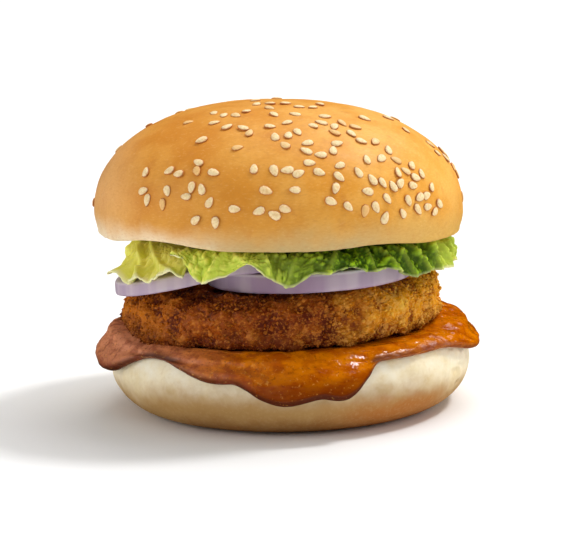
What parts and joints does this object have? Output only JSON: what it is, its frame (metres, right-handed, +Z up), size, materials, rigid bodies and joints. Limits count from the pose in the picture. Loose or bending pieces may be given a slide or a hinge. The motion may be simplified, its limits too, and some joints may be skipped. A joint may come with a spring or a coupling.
{
  "type": "burger with a crumbed paneer patty",
  "caption": "Burger of a seeded bun, crumbed paneer patty, orange sauce, red onion slices and lettuce, stacked upright and resting on its flat bun base.",
  "frame": {"origin": "middle of the flat foot that the bun base rests on", "axes": "+Z up through the stack; -Y is the side of the picture, where the sauce drips lowest; +X is to the right of it"},
  "size_m": [0.1092, 0.1066, 0.0864],
  "materials": {
    "crust": "satin",
    "pale_crumb": "matte",
    "fried_crumb": "matte",
    "orange_sauce": "gloss",
    "red_onion": "satin",
    "yellow_leaf": "satin",
    "green_leaf": "satin"
  },
  "bodies": {
    "root": {"bun_base": "pale_crumb", "sauce": "orange_sauce", "patty": "fried_crumb", "onion_lower": "red_onion", "onion_upper": "red_onion", "lettuce_right": "green_leaf", "lettuce_left": "yellow_leaf", "bun_top": "crust"}
  },
  "joints": []
}
